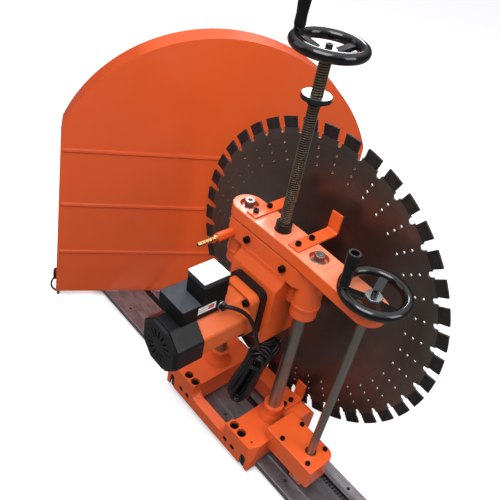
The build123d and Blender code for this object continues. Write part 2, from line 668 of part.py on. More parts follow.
with BuildPart() as motor_adapter:
    block(xz(-78), (96, 118), 27, (0, 423), corner=17)
    rod(xz(-75), 13, 40, MOTOR, mode=CUT)
    rod(xz(-93), 21, 20, MOTOR, mode=CUT)
    rod(xz(-90), 5, 30, *ADAPTER_SCREWS, mode=CUT)
save(motor_adapter, "motor_adapter")

# =====================================================================
# Motor
# =====================================================================
STATOR_R = 47
MOTOR_SHAFT_R = 10
with BuildPart() as motor_frame:
    octagon(xz(-105, *MOTOR), 56, 132)
    fillet(motor_frame.edges().filter_by(Axis.Y), radius=14)
    rod(xz(-104), STATOR_R, 121, MOTOR, mode=CUT)
    rod(xz(-200), 21, 40, MOTOR, mode=CUT)
    # clearance for the adapter's screw heads
    rod(xz(-104), 9, 12, *ADAPTER_SCREWS, mode=CUT)
    # terminal box seat, then the bore cleared through it
    block(xy(470), (56, 56), 11, (-12, -200))
    rod(xz(-104), STATOR_R, 121, MOTOR, mode=CUT)
save(motor_frame, "motor_frame")

with BuildPart() as motor_stator:
    rod(xz(-120), STATOR_R, 92, MOTOR, hole=31.5)
save(motor_stator, "motor_stator")

with BuildPart() as motor_fan_cover:
    octagon(xz(-237, *MOTOR), 60, 66)
    fillet(motor_fan_cover.edges().filter_by(Axis.Y), radius=9)
    octagon(xz(-303, *MOTOR), 56, 6, taper=35)
    rod(xz(-236), 52, 66, MOTOR, mode=CUT)
    # air slots
    with BuildSketch(xz(-301, *MOTOR)):
        with PolarLocations(30, 16):
            SlotOverall(22, 4)
    extrude(amount=12, mode=Mode.SUBTRACT)
save(motor_fan_cover, "motor_fan_cover")

with BuildPart() as motor_rotor:
    rod(xz(-34), 8, 50, MOTOR)
    rod(xz(-80), MOTOR_SHAFT_R, 210, MOTOR)
    rod(xz(-125), 31, 82, MOTOR)


    def gear_outline(teeth, phase):
        """Outline of one of the head's gears, about its own axis."""
        pitch_r = GEAR_MODULE * teeth / 2
        return tooth_ring(teeth, phase, root=(pitch_r - 1.25 * GEAR_MODULE, 1.6675),
                          tip=(pitch_r + 0.85 * GEAR_MODULE, 0.575))


    def direction(start, end):
        """Angle in degrees from one axis to another."""
        return degrees(atan2(end[1] - start[1], end[0] - start[0]))


    MOTOR_TO_COUNTER = direction(MOTOR, COUNTER)
    COUNTER_TO_SPINDLE = direction(COUNTER, SPINDLE)
    prism(xz(-36, *MOTOR), gear_outline(12, MOTOR_TO_COUNTER), GEAR_WIDTH_MOTOR)
save(motor_rotor, "motor_rotor")

with BuildPart() as motor_fan:
    rod(xz(-262), 18, 22, MOTOR, hole=MOTOR_SHAFT_R)
    with BuildSketch(xz(-262, *MOTOR)):
        with PolarLocations(31, 8):
            Rectangle(30, 3.5)
    extrude(amount=22)
    rod(xz(-262), 47, 3, MOTOR, hole=12)
save(motor_fan, "motor_fan")

# =====================================================================
# Terminal box, switch box and power cable
# =====================================================================
GLAND_Y, GLAND_Z = -180, 499
with BuildPart() as terminal_box:
    block(xy(481), (82, 113), 37, (-13, -221.5), corner=4)
    fillet(terminal_box.faces().sort_by(Axis.Z)[-1].edges(), radius=2)
    block(xy(484), (74, 105), 30, (-13, -221.5), mode=CUT)
    # gland boss
    rod(yz(27, GLAND_Y, GLAND_Z), 9, 8)
    rod(yz(20, GLAND_Y, GLAND_Z), 6, 20, mode=CUT)
save(terminal_box, "terminal_box")

BUTTONS = (("start_button", (0, -212)), ("stop_button", (0, -182)))   # name, (x, y)
BUTTON_R = 8.5
BOX_SIZE = (56, 67)
HINGE_Y, HINGE_Z = -161, 563
HINGE_HALF = 12                       # half the length of the box's knuckle
HINGE_GAP = 0.2


def knuckle(x, length, web_size, web_place):
    """Hinge knuckle along X, with a web to its box or lid."""
    with BuildSketch(yz(x, HINGE_Y, HINGE_Z)) as outline:
        Circle(2.4)
        with Locations(web_place):
            Rectangle(*web_size)
    extrude(outline.sketch, amount=length)


with BuildPart() as switch_box:
    block(xy(518), BOX_SIZE, 42, (0, -197), corner=3)
    block(xy(522), (50, 61), 36, (0, -197), mode=CUT)
    rod(xy(557), BUTTON_R + 0.1, 10, *[place for _, place in BUTTONS], mode=CUT)
    knuckle(-HINGE_HALF, 2 * HINGE_HALF, (4.5, 4.8), (-1.5, -2.4))
save(switch_box, "switch_box")

for name, place in BUTTONS:
    with BuildPart() as button:
        rod(xy(549), BUTTON_R, 16, place)
    save(button, name)

with BuildPart() as switch_lid:
    block(xy(560.2), BOX_SIZE, 14.8, (0, -198), corner=3)
    block(xy(560), (51, 62), 12.5, (0, -198), mode=CUT)
    fillet(switch_lid.faces().sort_by(Axis.Z)[-1].edges(), radius=1.5)
    for x in (-24, HINGE_HALF + HINGE_GAP):
        knuckle(x, 11.8, (4.8, 3.8), (-2.4, 0.5))
    # relief so the lid clears the box's knuckle
    relief_half = HINGE_HALF + HINGE_GAP
    rod(yz(-relief_half, HINGE_Y, HINGE_Z), 5.2, 2 * relief_half, mode=CUT)
save(switch_lid, "switch_lid")

# Cable bundle: racetrack loops side by side, leaning a little from the vertical
BUNDLE_TOP, BUNDLE_BOTTOM = Vector(68, -47, 320), Vector(42, -76, 132)
BUNDLE_UP = (BUNDLE_TOP - BUNDLE_BOTTOM).normalized()
SIDEWAYS = Vector(0.8, 0.6, 0)
BUNDLE_ACROSS = (SIDEWAYS - BUNDLE_UP * SIDEWAYS.dot(BUNDLE_UP)).normalized()   # across one loop
BUNDLE_NORMAL = BUNDLE_ACROSS.cross(BUNDLE_UP)                                  # loop to loop
LOOP_R = 16.0
LOOP_HALF = (BUNDLE_TOP - BUNDLE_BOTTOM).length / 2
LOOP_STRAIGHT = LOOP_HALF - LOOP_R    # half the straight run


def bundle_point(across, up, normal):
    middle = (BUNDLE_TOP + BUNDLE_BOTTOM) * 0.5
    return middle + BUNDLE_ACROSS * across + BUNDLE_UP * up + BUNDLE_NORMAL * normal


CABLE_RUN = ((29, GLAND_Y, GLAND_Z), (40, -179.5, 499.5), (56, -150, 490), (68, -122, 458),
             (79, -107, 420), (83, -90, 375), (88, -66, 328))
# out of the gland, over the motor's shoulder, hanging in a tied bundle beside the gearbox
with BuildPart() as power_cable:
    with BuildLine() as cable_path:
        Spline(*CABLE_RUN, bundle_point(LOOP_R, 75, 15), bundle_point(LOOP_R, 55, 15))
    with BuildSketch(Plane(origin=cable_path.line @ 0, z_dir=cable_path.line % 0)):
        Circle(5.2)
    sweep(path=cable_path.line)
    for offset in (-15.0, -5.0, 5.0, 15.0):
        with BuildLine(Plane(origin=bundle_point(0, 0, offset), x_dir=BUNDLE_ACROSS,
                             z_dir=BUNDLE_NORMAL)) as loop_path:
            Line((LOOP_R, LOOP_STRAIGHT), (LOOP_R, -LOOP_STRAIGHT))
            ThreePointArc((LOOP_R, -LOOP_STRAIGHT), (0, -LOOP_HALF), (-LOOP_R, -LOOP_STRAIGHT))
            Line((-LOOP_R, -LOOP_STRAIGHT), (-LOOP_R, LOOP_STRAIGHT))
            ThreePointArc((-LOOP_R, LOOP_STRAIGHT), (0, LOOP_HALF), (LOOP_R, LOOP_STRAIGHT))
        with BuildSketch(Plane(origin=bundle_point(LOOP_R, LOOP_STRAIGHT, offset),
                               z_dir=BUNDLE_UP * -1)):
            Circle(4.8)
        sweep(path=loop_path.wire())
    # tie band
    with BuildSketch(Plane(origin=bundle_point(0, 42, 0), x_dir=BUNDLE_ACROSS,
                           z_dir=BUNDLE_UP)):
        RectangleRounded(2 * 21.6, 2 * 20.6, 6)
        RectangleRounded(2 * 19.8, 2 * 18.8, 4.5, mode=Mode.SUBTRACT)
    extrude(amount=14)
save(power_cable, "power_cable")

# =====================================================================
# Water inlet, bearings and gears
# =====================================================================
# (y, radius)
BARB_PROFILE = (
    (-62, 0), (-62, 5), (-84, 5), (-84, 8.5), (-94, 8.5), (-94, 5.2), (-100, 5.2),
    (-103, 6.8), (-109, 5.2), (-112, 6.8), (-118, 5.2), (-121, 6.8), (-127, 5.2),
    (-130, 6.8), (-139, 4.6), (-139, 0))
with BuildPart() as hose_barb:
    turned(yz(INLET[0], 0, INLET[1]), BARB_PROFILE)
    rod(xz(-60), 3, 90, INLET, mode=CUT)
save(hose_barb, "hose_barb")

# axis, near face y, outer radius, bore radius, width
HEAD_BEARINGS = (
    (SPINDLE, 71.0, 36.0, 20.06, 16), (SPINDLE, 95.5, 36.0, 20.06, 16),
    (COUNTER, -72.0, 13.0, 6.06, 9.5), (COUNTER, 20.0, 13.0, 6.06, 9.5),
    (MOTOR, -103.0, 21.0, 10.06, 10), (MOTOR, -236.0, 21.0, 10.06, 10))
with BuildPart() as head_bearings:
    for axis, near_face, outer_r, bore_r, width in HEAD_BEARINGS:
        rod(xz(near_face), outer_r, -width, axis, hole=bore_r)
save(head_bearings, "head_bearings")

# Meshing gears: a tooth of one on the line of centres, a gap of the other
COUNTER_TEETH, OUTPUT_TEETH = 26, 24
with BuildPart() as counter_gear:
    rod(xz(29), 6, 100, COUNTER)
    prism(xz(-36, *COUNTER),
          gear_outline(COUNTER_TEETH, MOTOR_TO_COUNTER + 180 + 180 / COUNTER_TEETH),
          GEAR_WIDTH_MOTOR)
    prism(xz(-5, *COUNTER), gear_outline(14, COUNTER_TO_SPINDLE), GEAR_WIDTH_OUTPUT)
save(counter_gear, "counter_gear")

with BuildPart() as output_gear:
    prism(xz(-5, *SPINDLE),
          gear_outline(OUTPUT_TEETH, COUNTER_TO_SPINDLE + 180 + 180 / OUTPUT_TEETH),
          GEAR_WIDTH_OUTPUT, hole=12)
save(output_gear, "output_gear")

# =====================================================================
# Spindle and blade
# =====================================================================
SPINDLE_R, SPINDLE_END_R = 20, 12
FLANGE_R = 62
CLAMP_FACE_Y = 150                    # far face of the outer flange
BOLT_R = 5
BOLT_RING = [ring_point((0, 0), 60 * k, 45) for k in range(6)]    # about the spindle

with BuildPart() as spindle:
    rod(xz(-27), SPINDLE_END_R, -98, SPINDLE)
    rod(xz(69), SPINDLE_R, -81, SPINDLE)
    rod(xz(CLAMP_FACE_Y), SPINDLE_END_R, -22, SPINDLE)
save(spindle, "spindle")

with BuildPart() as blade_flanges:
    rod(xz(114), 26, -8, SPINDLE)
    rod(xz(121), FLANGE_R, -14, SPINDLE)
    rod(xz(BLADE_Y0 + CORE_T), FLANGE_R, -11, SPINDLE)
    rod(xz(110), SPINDLE_R, -50, SPINDLE, mode=CUT)
    rod(xz(110, *SPINDLE), BOLT_R, -50, *BOLT_RING, mode=CUT)
save(blade_flanges, "blade_flanges")

with BuildPart() as flange_bolts:
    # the heads face +Y
    clamp_face = Plane(origin=(SPINDLE[0], CLAMP_FACE_Y, SPINDLE[1]), x_dir=(1, 0, 0),
                       z_dir=(0, 1, 0))
    socket_screws(clamp_face, BOLT_RING, shank=(BOLT_R, 29), head=(8, 9), socket=(4.4, 5))
save(flange_bolts, "flange_bolts")

with BuildPart() as spindle_nut:
    with BuildSketch(xz(CLAMP_FACE_Y, *SPINDLE)):
        RegularPolygon(23, 6)
        Circle(SPINDLE_END_R, mode=Mode.SUBTRACT)
    extrude(amount=-16)
save(spindle_nut, "spindle_nut")

with BuildPart() as blade_core:
    with BuildSketch(xz(BLADE_Y0, *SPINDLE)):
        Circle(CORE_R)
        Circle(SPINDLE_R, mode=Mode.SUBTRACT)
        with Locations(*BOLT_RING):
            Circle(BOLT_R, mode=Mode.SUBTRACT)
        # between segments: a slot open to the rim and a row of three holes inward of it
        for k in range(SEGMENTS):
            angle = SEGMENT_PHASE - SEGMENT_STEP / 2 + SEGMENT_STEP * k
            with Locations(ring_point((0, 0), angle, 383.5)):
                SlotCenterToCenter(30, 13, rotation=angle, mode=Mode.SUBTRACT)
            with Locations(*[ring_point((0, 0), angle, radius) for radius in (300, 320, 341)]):
                Circle(3.2, mode=Mode.SUBTRACT)
    extrude(amount=-CORE_T)
save(blade_core, "blade_core")

SEGMENT_HALF = 2.87                   # half a segment's angle, degrees
SEGMENT_PROUD = 0.6                   # beyond each face of the core
with BuildPart() as blade_segments:
    for k in range(SEGMENTS):
        middle = SEGMENT_PHASE + SEGMENT_STEP * k
        inner, outer = [
            [ring_point((0, 0), middle + side * SEGMENT_HALF, radius) for side in (-1, 0, 1)]
            for radius in (CORE_R, BLADE_R)]
        with BuildSketch(xz(BLADE_Y0 - SEGMENT_PROUD, *SPINDLE)):
            with BuildLine():
                Line(inner[0], outer[0])
                ThreePointArc(*outer)
                Line(outer[2], inner[2])
                ThreePointArc(*reversed(inner))
            make_face()
        extrude(amount=-(CORE_T + 2 * SEGMENT_PROUD))
save(blade_segments, "blade_segments")
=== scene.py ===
# Rail-guided disc saw: carriage, two columns, motor head and blade, in metres with +Z up.
# The rail runs along X, the lead screw stands on the Z axis and the blade turns about a line
# parallel to Y. Most pieces keep their CAD mesh; the thread, cable, gland and sticker are built.
import bpy
import math
import numpy as np
from mathutils import Vector, Matrix


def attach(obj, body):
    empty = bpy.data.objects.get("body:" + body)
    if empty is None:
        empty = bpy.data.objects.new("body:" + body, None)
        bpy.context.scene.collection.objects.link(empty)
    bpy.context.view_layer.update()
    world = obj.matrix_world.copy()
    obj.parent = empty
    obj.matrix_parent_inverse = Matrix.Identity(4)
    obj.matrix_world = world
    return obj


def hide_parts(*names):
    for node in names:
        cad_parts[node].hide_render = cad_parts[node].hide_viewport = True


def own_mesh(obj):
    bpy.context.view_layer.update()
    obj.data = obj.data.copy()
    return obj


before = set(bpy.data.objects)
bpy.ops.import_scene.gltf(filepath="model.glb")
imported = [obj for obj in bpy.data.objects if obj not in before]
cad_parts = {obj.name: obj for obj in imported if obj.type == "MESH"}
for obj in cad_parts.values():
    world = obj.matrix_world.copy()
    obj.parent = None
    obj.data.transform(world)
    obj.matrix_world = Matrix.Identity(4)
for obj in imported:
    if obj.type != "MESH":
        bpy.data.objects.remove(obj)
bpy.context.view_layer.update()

# Places shared by materials and meshes
BLADE_Z = 0.412
TRAVEL_HUB = (0.262, -0.012)  # x, y of the travel handwheel's hub
STICKER_X = 0.02815
STICKER_Y, STICKER_WIDTH = -0.238, 0.046
STICKER_Z, STICKER_HEIGHT = 0.494, 0.019
GLAND_Y, GLAND_Z = -0.180, 0.499

MATERIALS = {}
BLACK, WHITE = (0, 0, 0), (1, 1, 1)


# ------------------------------------------------------------------ shader helpers
def shade(colour, factor, lift=0.0):
    return tuple(min(1, x * factor + lift) for x in colour)


def fill_ramp(node, stops):
    elements = node.color_ramp.elements
    while len(elements) < len(stops):
        elements.new(0.5)
    for element, (position, colour) in zip(elements, stops):
        element.position = position
        element.color = (*colour, 1)


class Shader:
    """A Principled material, with short calls for the nodes that feed it."""

    def __init__(self, name):
        material = bpy.data.materials.new(name)
        material.use_nodes = True
        MATERIALS[name] = material
        self.tree = material.node_tree
        self.coords = self.node("ShaderNodeTexCoord").outputs["Object"]

    def node(self, kind, **settings):
        node = self.tree.nodes.new(kind)
        for key, value in settings.items():
            setattr(node, key, value)
        return node

    def feed(self, socket, value):
        # link an output, or set a colour or a number
        if isinstance(value, bpy.types.NodeSocket):
            self.tree.links.new(value, socket)
        elif isinstance(value, tuple):
            socket.default_value = (*value, 1)
        else:
            socket.default_value = value

    def mapped(self, setting, vector):
        node = self.node("ShaderNodeMapping")
        self.feed(node.inputs["Vector"], self.coords)
        node.inputs[setting].default_value = vector
        return node.outputs["Vector"]

    def split(self, vector):
        node = self.node("ShaderNodeSeparateXYZ")
        self.feed(node.inputs[0], vector)
        return node.outputs["X"], node.outputs["Y"], node.outputs["Z"]

    def split_normal(self):
        return self.split(self.node("ShaderNodeTexCoord").outputs["Normal"])

    def combine(self, *values):
        node = self.node("ShaderNodeCombineXYZ")
        for socket, value in zip(node.inputs, values):
            self.feed(socket, value)
        return node.outputs[0]

    def noise(self, scale, detail=4, rough=0.55, vector=None):
        node = self.node("ShaderNodeTexNoise")
        node.inputs["Scale"].default_value = scale
        node.inputs["Detail"].default_value = detail
        node.inputs["Roughness"].default_value = rough
        self.feed(node.inputs["Vector"], self.coords if vector is None else vector)
        return node.outputs["Fac"]

    def threshold(self, value, start, end, below=BLACK, above=WHITE):
        node = self.node("ShaderNodeValToRGB")
        fill_ramp(node, [(0.0, below), (start, below), (end, above), (1.0, above)])
        self.feed(node.inputs["Fac"], value)
        return node.outputs["Color"]

    def remap(self, value, span=(0.0, 1.0), to=(0.0, 1.0)):
        node = self.node("ShaderNodeMapRange")
        node.inputs["From Min"].default_value, node.inputs["From Max"].default_value = span
        node.inputs["To Min"].default_value, node.inputs["To Max"].default_value = to
        self.feed(node.inputs["Value"], value)
        return node.outputs["Result"]

    def mix(self, amount, base, over):
        node = self.node("ShaderNodeMix", data_type="RGBA")
        for index, value in ((0, amount), (6, base), (7, over)):
            self.feed(node.inputs[index], value)
        return node.outputs[2]

    def math(self, operation, first, second=0.0):
        node = self.node("ShaderNodeMath", operation=operation)
        self.feed(node.inputs[0], first)
        self.feed(node.inputs[1], second)
        return node.outputs[0]

    def product(self, first, *others):
        for other in others:
            first = self.math("MULTIPLY", first, other)
        return first

    def radius(self, x, y):
        total = self.math("ADD", self.product(x, x), self.product(y, y))
        return self.math("SQRT", total)

    def invert(self, value):
        return self.math("SUBTRACT", 1.0, value)

    def above(self, value, edge, width=0.0002):
        return self.remap(value, span=(edge - width, edge + width))

    def below(self, value, edge, width=0.0002):
        return self.invert(self.above(value, edge, width))

    def band(self, value, low, high, width=0.0002):
        return self.product(self.above(value, low, width), self.below(value, high, width))

    def bump(self, height, distance, strength, normal):
        node = self.node("ShaderNodeBump")
        node.inputs["Distance"].default_value = distance
        node.inputs["Strength"].default_value = strength
        self.feed(node.inputs["Height"], height)
        self.feed(node.inputs["Normal"], normal)
        return node.outputs["Normal"]

    def bevel(self, radius):
        node = self.node("ShaderNodeBevel", samples=4)
        node.inputs["Radius"].default_value = radius
        return node.outputs["Normal"]

    def edge(self, radius):
        # 0 on flats, 1 on edges: how far the rounded normal leans from the true one
        dot = self.node("ShaderNodeVectorMath", operation="DOT_PRODUCT")
        self.feed(dot.inputs[0], self.bevel(radius))
        self.feed(dot.inputs[1], self.node("ShaderNodeNewGeometry").outputs["Normal"])
        return self.remap(dot.outputs["Value"], span=(0.75, 0.995), to=(1.0, 0.0))

    def finish(self, **inputs):
        principled = self.tree.nodes["Principled BSDF"]
        for key, value in inputs.items():
            self.feed(principled.inputs[key.replace("_", " ")], value)


# ------------------------------------------------------------------ material families
def painted(name, colour, rough, peel, coat, wear, cast, edge_radius=0.0018,
            painted_top_sheen=None, slope_shade_colour=None):
    # peel and cast are bump strengths; the last two are colours painted on faces turned that way:
    # a painted sheen on level tops and painted shade on faces that slope up
    mat = Shader(name)
    medium = mat.noise(scale=60, detail=5, rough=0.65)
    patches = mat.remap(mat.noise(scale=7, detail=3), span=(0.35, 0.7), to=(0.0, 0.22))
    paint = mat.mix(patches, colour, over=shade(colour, 0.80))
    # dark specks
    specks = mat.threshold(mat.noise(scale=140, detail=6, rough=0.7),
                           start=0.27, end=0.31, below=WHITE, above=BLACK)
    paint = mat.mix(mat.product(specks, 0.30), paint, over=(0.30, 0.07, 0.025))
    # broken wear along the edges
    broken = mat.threshold(mat.noise(scale=210, detail=6, rough=0.7), start=0.50, end=0.60)
    worn = mat.product(mat.edge(radius=0.0010), broken, wear)
    paint = mat.mix(worn, paint, over=(0.42, 0.36, 0.33))
    # dirt and shade in the corners
    occlusion = mat.node("ShaderNodeAmbientOcclusion", samples=6)
    occlusion.inputs["Distance"].default_value = 0.035
    corners = mat.remap(occlusion.outputs["AO"], span=(0.25, 0.85), to=(0.62, 0.0))
    paint = mat.mix(corners, paint, over=shade(colour, 0.30))
    if painted_top_sheen is not None:
        # painted sheen: paler, mottled paint on the level top
        normal_z = mat.split_normal()[2]
        sheen_mottle = mat.remap(mat.noise(scale=9, detail=5, rough=0.65),
                          span=(0.35, 0.62), to=(0.30, 0.72))
        top = mat.remap(normal_z, span=(0.92, 0.98))
        paint = mat.mix(mat.product(top, sheen_mottle), paint, over=painted_top_sheen)
    specular = 0.5
    if slope_shade_colour is not None:
        # painted shade: darker, duller paint on faces that slope up and look towards -Y or +X
        normal_x, normal_y, normal_z = mat.split_normal()
        outward = mat.math("MAXIMUM",
                           mat.remap(normal_y, span=(-0.45, -0.35), to=(1.0, 0.0)),
                           mat.remap(normal_x, span=(0.44, 0.52)))
        slope_shade = mat.product(mat.remap(normal_z, span=(0.35, 0.45)),
                             mat.remap(normal_z, span=(0.86, 0.94), to=(1.0, 0.0)), outward)
        paint = mat.mix(mat.product(slope_shade, 0.85), paint, over=slope_shade_colour)
        specular = mat.remap(slope_shade, to=(0.5, 0.10))
        coat = mat.remap(slope_shade, to=(coat, 0.0))
    normal = mat.bump(mat.noise(scale=900, detail=2), distance=0.00012, strength=peel,
                      normal=mat.bevel(edge_radius))
    if cast > 0:
        normal = mat.bump(mat.noise(scale=420, detail=5, rough=0.7), distance=0.0004,
                          strength=cast, normal=normal)
        normal = mat.bump(medium, distance=0.0008, strength=cast * 0.35, normal=normal)
    mat.finish(Base_Color=paint, Roughness=mat.remap(medium, to=(rough * 0.8, rough * 1.35)),
               Normal=normal, Coat_Weight=coat, Coat_Roughness=0.12,
               Specular_IOR_Level=specular)


def metal(name, colour, rough=0.3, stretch=(1, 1, 1), scale=400, bump=0.15, grime=0.25,
          wear=0.2):
    mat = Shader(name)
    brush = mat.noise(scale=scale, detail=3, rough=0.6, vector=mat.mapped("Scale", stretch))
    tone = mat.mix(mat.remap(brush, span=(0.3, 0.7), to=(0.0, 0.35)),
                   colour, over=shade(colour, 0.72))
    dirt = mat.remap(mat.noise(scale=14, detail=5, rough=0.6),
                     span=(0.45, 0.75), to=(0.0, grime))
    tone = mat.mix(dirt, tone, over=shade(colour, 0.38))
    tone = mat.mix(mat.product(mat.edge(radius=0.0008), wear), tone,
                   over=shade(colour, 1.6, lift=0.1))
    mat.finish(Base_Color=tone, Metallic=1.0,
               Roughness=mat.remap(mat.noise(scale=35), to=(rough * 0.75, rough * 1.35)),
               Normal=mat.bump(brush, distance=0.0002, strength=bump,
                               normal=mat.bevel(0.0008)))


def plastic(name, colour, rough=0.25, grain=0.1, scale=700, coat=0.0, dust=0.12, spec=0.5,
            painted_top_sheen=None):
    mat = Shader(name)
    film = mat.remap(mat.noise(scale=25), span=(0.45, 0.8), to=(0.0, dust))
    tone = mat.mix(film, colour, over=shade(colour, 1.0, lift=0.10))
    tone = mat.mix(mat.product(mat.edge(radius=0.0008), 0.22), tone,
                   over=shade(colour, 1.3, lift=0.045))
    if painted_top_sheen is not None:
        # painted reflection: a pale bluish, mottled tone on level tops
        normal_z = mat.split_normal()[2]
        reflection_mottle = mat.remap(mat.noise(scale=60, detail=5, rough=0.7),
                            span=(0.3, 0.6), to=(0.75, 1.0))
        top = mat.remap(normal_z, span=(0.90, 0.97))
        tone = mat.mix(mat.product(top, reflection_mottle), tone, over=painted_top_sheen)
    mat.finish(Base_Color=tone,
               Roughness=mat.remap(mat.noise(scale=45), to=(rough * 0.75, rough * 1.4)),
               Normal=mat.bump(mat.noise(scale=scale, detail=3), distance=0.0002,
                               strength=grain, normal=mat.bevel(0.0012)),
               Coat_Weight=coat, Coat_Roughness=0.08, Specular_IOR_Level=spec)


ORANGE = (0.80, 0.110, 0.020)
CASTING = dict(colour=ORANGE, rough=0.38, peel=0.2, coat=0.16, cast=0.22, wear=0.3)
PLATE = dict(colour=ORANGE, rough=0.30, peel=0.25, coat=0.35, cast=0.05, wear=0.3,
             edge_radius=0.0022)
painted("orange_cast", **CASTING)
painted("orange_plate", **PLATE)
# the gearbox shoulder's up-sloping faces carry painted shade
painted("orange_head_casting", **CASTING, slope_shade_colour=(0.50, 0.072, 0.016))
# the top plate's level tops carry a painted sheen
painted("orange_top_plate", **PLATE, painted_top_sheen=(0.86, 0.33, 0.20))
# the guard's up-sloping crease facets carry painted shade
painted("orange_sheet", (0.80, 0.104, 0.019), rough=0.30, peel=0.25, coat=0.4, cast=0.0,
        wear=0.22, edge_radius=0.0015, slope_shade_colour=(0.52, 0.066, 0.014))
painted("orange_motor", (0.68, 0.115, 0.019), rough=0.38, peel=0.2, coat=0.2, cast=0.08,
        wear=0.2)
metal("rack_steel", (0.13, 0.12, 0.125), rough=0.4, scale=300, grime=0.6, wear=0.5)
metal("ground_shaft", (0.34, 0.315, 0.285), rough=0.36, stretch=(1, 1, 0.12), scale=260,
      grime=0.30, wear=0.1)
metal("bright_screw", (0.56, 0.53, 0.53), scale=300, grime=0.2, wear=0.3)
metal("machined_steel", (0.42, 0.42, 0.42), grime=0.3, wear=0.4)
metal("black_oxide", (0.022, 0.021, 0.021), rough=0.33, scale=300, grime=0.2, wear=0.25)
metal("brass", (0.74, 0.46, 0.20), rough=0.25, grime=0.3, wear=0.4)
metal("bronze", (0.22, 0.11, 0.05), wear=0.3)
metal("stator_iron", (0.22, 0.20, 0.19), rough=0.5, stretch=(0.1, 3, 0.1), scale=500,
      grime=0.4, wear=0.3)
plastic("black_gloss", (0.004, 0.004, 0.005), rough=0.13, grain=0.03, coat=0.35, dust=0.0,
        spec=0.40)
plastic("grip_black", (0.005, 0.005, 0.006), rough=0.30, grain=0.04, dust=0.0, spec=0.30)
# the level tops of these black mouldings carry a painted reflection
plastic("black_moulded", (0.005, 0.005, 0.0055), rough=0.38, grain=0.22, scale=1200,
        dust=0.02, spec=0.13, painted_top_sheen=(0.055, 0.060, 0.072))
plastic("black_paint", (0.006, 0.006, 0.007), rough=0.34, grain=0.12, scale=500, dust=0.03,
        spec=0.22)
plastic("black_rubber", (0.010, 0.010, 0.010), rough=0.52, grain=0.3, scale=900, dust=0.10,
        spec=0.3)
plastic("cable_sheath", (0.006, 0.006, 0.007), rough=0.34, grain=0.15, scale=900, dust=0.02,
        spec=0.35)
plastic("green_button", (0.02, 0.30, 0.08), rough=0.3)
plastic("red_button", (0.50, 0.02, 0.02), rough=0.3)


# ------------------------------------------------------------------ single materials
def rail_steel():
    # satin mauve-grey steel drawn along X, with painted shade in the groove
    mat = Shader("rail_steel")
    x, y, z = mat.split(mat.coords)
    drawn = mat.noise(scale=520, detail=3, rough=0.6, vector=mat.mapped("Scale", (0.03, 1, 1)))
    scuffs = mat.noise(scale=60, detail=5, rough=0.7, vector=mat.mapped("Scale", (0.35, 1, 1)))
    tone = mat.mix(mat.remap(drawn, span=(0.3, 0.7), to=(0.0, 0.6)),
                   (0.34, 0.325, 0.345), over=(0.21, 0.195, 0.21))
    tone = mat.mix(mat.remap(scuffs, span=(0.44, 0.68), to=(0.0, 0.75)), tone,
                   over=(0.115, 0.10, 0.108))
    specks = mat.threshold(mat.noise(scale=240, detail=6, rough=0.75),
                           start=0.30, end=0.34, below=WHITE, above=BLACK)
    tone = mat.mix(mat.product(specks, 0.6), tone, over=(0.10, 0.075, 0.06))
    # painted shade: the groove below the top surface is darkened
    groove_shade = mat.product(mat.band(y, low=0.0238, high=0.0422), mat.below(z, edge=-0.0012))
    tone = mat.mix(groove_shade, tone, over=(0.035, 0.033, 0.036))
    # everything under the rail's upper surface
    low = mat.below(z, edge=-0.0022)
    tone = mat.mix(mat.product(low, 0.28), tone, over=(0.20, 0.17, 0.185))
    # painted shade: darker towards the +X end, less so low down
    far_end_shade = mat.product(mat.remap(x, span=(0.14, 0.40), to=(0.0, 0.88)),
                          mat.invert(mat.product(low, 0.75)))
    tone = mat.mix(far_end_shade, tone, over=(0.085, 0.074, 0.080))
    tone = mat.mix(mat.product(mat.edge(radius=0.0010), 0.5), tone, over=(0.62, 0.60, 0.60))
    mat.finish(Base_Color=tone, Metallic=0.80,
               Roughness=mat.remap(mat.noise(scale=30), to=(0.24, 0.50)),
               Normal=mat.bump(drawn, distance=0.0002, strength=0.25,
                               normal=mat.bevel(0.0010)))


def turned_disc():
    # turned bright top, black rim and underside
    mat = Shader("turned_disc")
    normal_z = mat.split_normal()[2]
    x, y, _ = mat.split(mat.coords)
    across = mat.combine(mat.product(mat.radius(x, y), 1500.0))
    rings = mat.noise(scale=1.0, detail=2, rough=0.6, vector=across)
    top = mat.above(normal_z, edge=0.80, width=0.05)
    bright = mat.mix(mat.remap(rings, span=(0.3, 0.7), to=(0, 0.6)),
                     (0.40, 0.42, 0.45), over=(0.20, 0.21, 0.22))
    mat.finish(Base_Color=mat.mix(top, (0.012, 0.012, 0.012), over=bright),
               Metallic=mat.remap(top, to=(0.2, 1.0)),
               Roughness=mat.remap(mat.noise(scale=40), to=(0.22, 0.34)),
               Normal=mat.bump(rings, distance=0.0002, strength=0.15,
                               normal=mat.bevel(0.0008)))


def white_lid():
    # white top face, smoked dark skirt
    mat = Shader("white_lid")
    z = mat.split(mat.coords)[2]
    normal_z = mat.split_normal()[2]
    top = mat.math("MAXIMUM", mat.above(normal_z, edge=0.55, width=0.1),
                   mat.above(z, edge=0.5722))
    white = mat.mix(mat.remap(mat.noise(scale=30, detail=3), span=(0.4, 0.7), to=(0, 0.3)),
                    (0.84, 0.87, 0.90), over=(0.74, 0.77, 0.82))
    mat.finish(Base_Color=mat.mix(top, (0.018, 0.018, 0.020), over=white),
               Roughness=mat.remap(mat.noise(scale=50, detail=3), to=(0.16, 0.28)),
               Normal=mat.bump(mat.noise(scale=700, detail=2), distance=0.0001,
                               strength=0.05, normal=mat.bevel(0.0012)),
               Coat_Weight=0.3)


